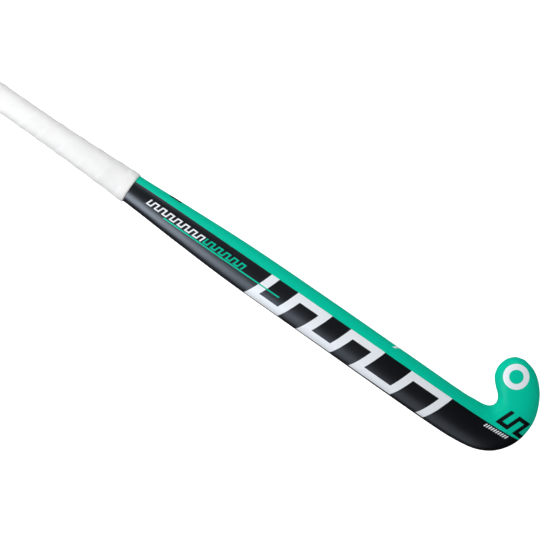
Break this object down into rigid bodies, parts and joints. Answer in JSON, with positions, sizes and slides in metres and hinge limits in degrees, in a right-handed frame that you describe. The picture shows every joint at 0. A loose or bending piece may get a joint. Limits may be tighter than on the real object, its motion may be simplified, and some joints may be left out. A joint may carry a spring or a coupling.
{
  "type": "field hockey stick",
  "caption": "Field hockey stick: hollow composite shaft with a bowed, flat-faced lower half, a hooked head, foam cores and a white cushioned grip wound round an oval handle.",
  "frame": {"origin": "on the floor, in the middle of the stick's length and of its head's height", "axes": "+X along the stick from the butt to the head, +Y towards the toe of the hook, +Z from the flat playing side to the rounded back"},
  "size_m": [0.9258, 0.1182, 0.0477],
  "materials": {
    "lacquered_laminate": "black and sea-green paint under satin-gloss clear lacquer, with pale grey printed bars",
    "dense_foam": "cut closed-cell foam",
    "light_foam": "cut closed-cell foam",
    "plug_plastic": "moulded, matte",
    "cap_rubber": "moulded, matte white",
    "underlay_foam": "closed-cell foam tape",
    "grip_tape": "white soft-touch polyurethane, finely pitted",
    "finishing_tape": "smooth white vinyl, satin"
  },
  "bodies": {
    "root": {"laminate_shell": "lacquered_laminate", "head_core": "dense_foam", "shaft_core": "light_foam", "handle_plug": "plug_plastic", "butt_cap": "cap_rubber", "cushion_underlay": "underlay_foam", "grip_tape": "grip_tape", "finishing_tape": "finishing_tape"}
  },
  "joints": []
}
